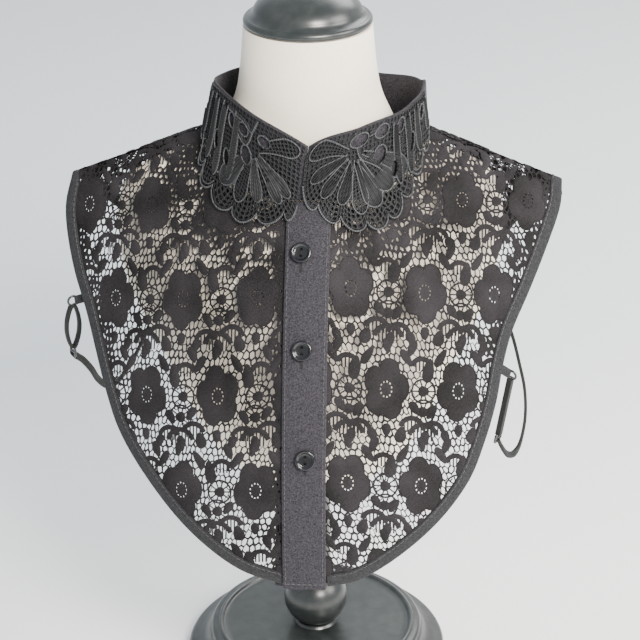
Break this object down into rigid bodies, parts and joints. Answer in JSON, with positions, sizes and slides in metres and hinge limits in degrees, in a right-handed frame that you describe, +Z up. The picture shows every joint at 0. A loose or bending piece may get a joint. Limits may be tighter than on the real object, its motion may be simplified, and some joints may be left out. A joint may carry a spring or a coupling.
{
  "type": "detachable lace collar on a limbless tabletop dress form",
  "caption": "Sleeveless lace dickey with a standing collar and turned-over lace lobes, button front and side straps, on a tabletop dress form with a turned stand.",
  "frame": {"origin": "middle of the stand's flat underside", "axes": "+Z up, the front with its buttons faces -Y, +X to the right as seen from the front"},
  "size_m": [0.2881, 0.2144, 0.4423],
  "materials": {
    "lace": "black floral lace on a hexagonal net",
    "guipure": "black guipure lace with raised satin cords",
    "cloth": "black plain-woven cotton, matt",
    "button": "glossy black resin with a rim",
    "strap": "black knitted elastic strap",
    "ring": "black enamelled wire",
    "form_cloth": "cream cotton jersey stretched over foam",
    "black_wood": "turned wood in satin black paint"
  },
  "bodies": {
    "root": {"front_left": "lace", "front_right": "lace", "back_panel": "lace", "lobe_left": "guipure", "lobe_right": "guipure", "collar_band": "cloth", "placket": "cloth", "under_placket": "cloth", "binding_left": "cloth", "binding_right": "cloth", "binding_back": "cloth", "button_top": "button", "button_middle": "button", "button_low": "button", "strap_tab_left": "cloth", "strap_tab_right": "cloth", "strap_ring_left": "ring", "strap_ring_right": "ring", "strap_outer_left": "strap", "strap_outer_right": "strap", "strap_inner_left": "strap", "strap_inner_right": "strap", "strap_slider_left": "ring", "strap_slider_right": "ring", "strap_long_left": "strap", "strap_long_right": "strap", "form_torso": "form_cloth", "form_neck_cap": "black_wood", "stand_post": "black_wood", "stand_knob": "black_wood", "stand_foot": "black_wood", "stand_base": "black_wood"}
  },
  "joints": []
}
